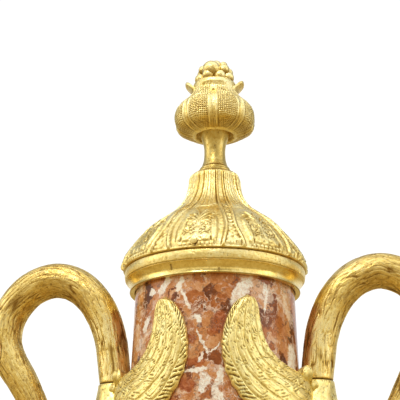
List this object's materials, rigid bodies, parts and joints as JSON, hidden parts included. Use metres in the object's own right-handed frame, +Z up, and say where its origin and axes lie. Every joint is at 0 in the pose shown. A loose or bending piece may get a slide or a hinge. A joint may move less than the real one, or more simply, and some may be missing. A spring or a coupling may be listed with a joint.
{
  "type": "mantel urn",
  "caption": "Tall lidded mantel urn: turned marble body, gilt-bronze lid with bud finial, looped swan-neck handles, round foot on a square plinth.",
  "frame": {"origin": "middle of the base plate's underside, on the surface that the urn stands on", "axes": "+Z up along the urn's axis; the two handles lie along X; the front faces -Y"},
  "size_m": [0.3, 0.126, 0.4407],
  "materials": {
    "gilt_bronze_base": "matte fire gilding, burnished edges",
    "red_marble_plinth": "polished red breccia marble with cream veins",
    "gilt_bronze_foot": "matte fire gilding, burnished mouldings",
    "gilt_bronze_calyx": "matte fire gilding, chased leaves",
    "red_marble_body": "polished red breccia marble with cream veins",
    "polished_gilt_bronze": "burnished gilding, bright and smooth",
    "gilt_bronze_lid": "matte fire gilding, chased relief",
    "gilt_bronze_finial": "matte fire gilding, stippled panels and burnished ribs",
    "gilt_bronze_swans": "matte fire gilding, chased feathers",
    "gilt_bronze_necks": "matte fire gilding, fine chased feathers"
  },
  "bodies": {
    "root": {"base_plate": "gilt_bronze_base", "plinth": "red_marble_plinth", "foot": "gilt_bronze_foot", "calyx": "gilt_bronze_calyx", "marble_body": "red_marble_body", "rim_collar": "polished_gilt_bronze", "lid_dome": "gilt_bronze_lid", "finial": "gilt_bronze_finial", "swan_body_left": "gilt_bronze_swans", "swan_body_right": "gilt_bronze_swans", "swan_neck_left": "gilt_bronze_necks", "swan_neck_right": "gilt_bronze_necks"}
  },
  "joints": []
}
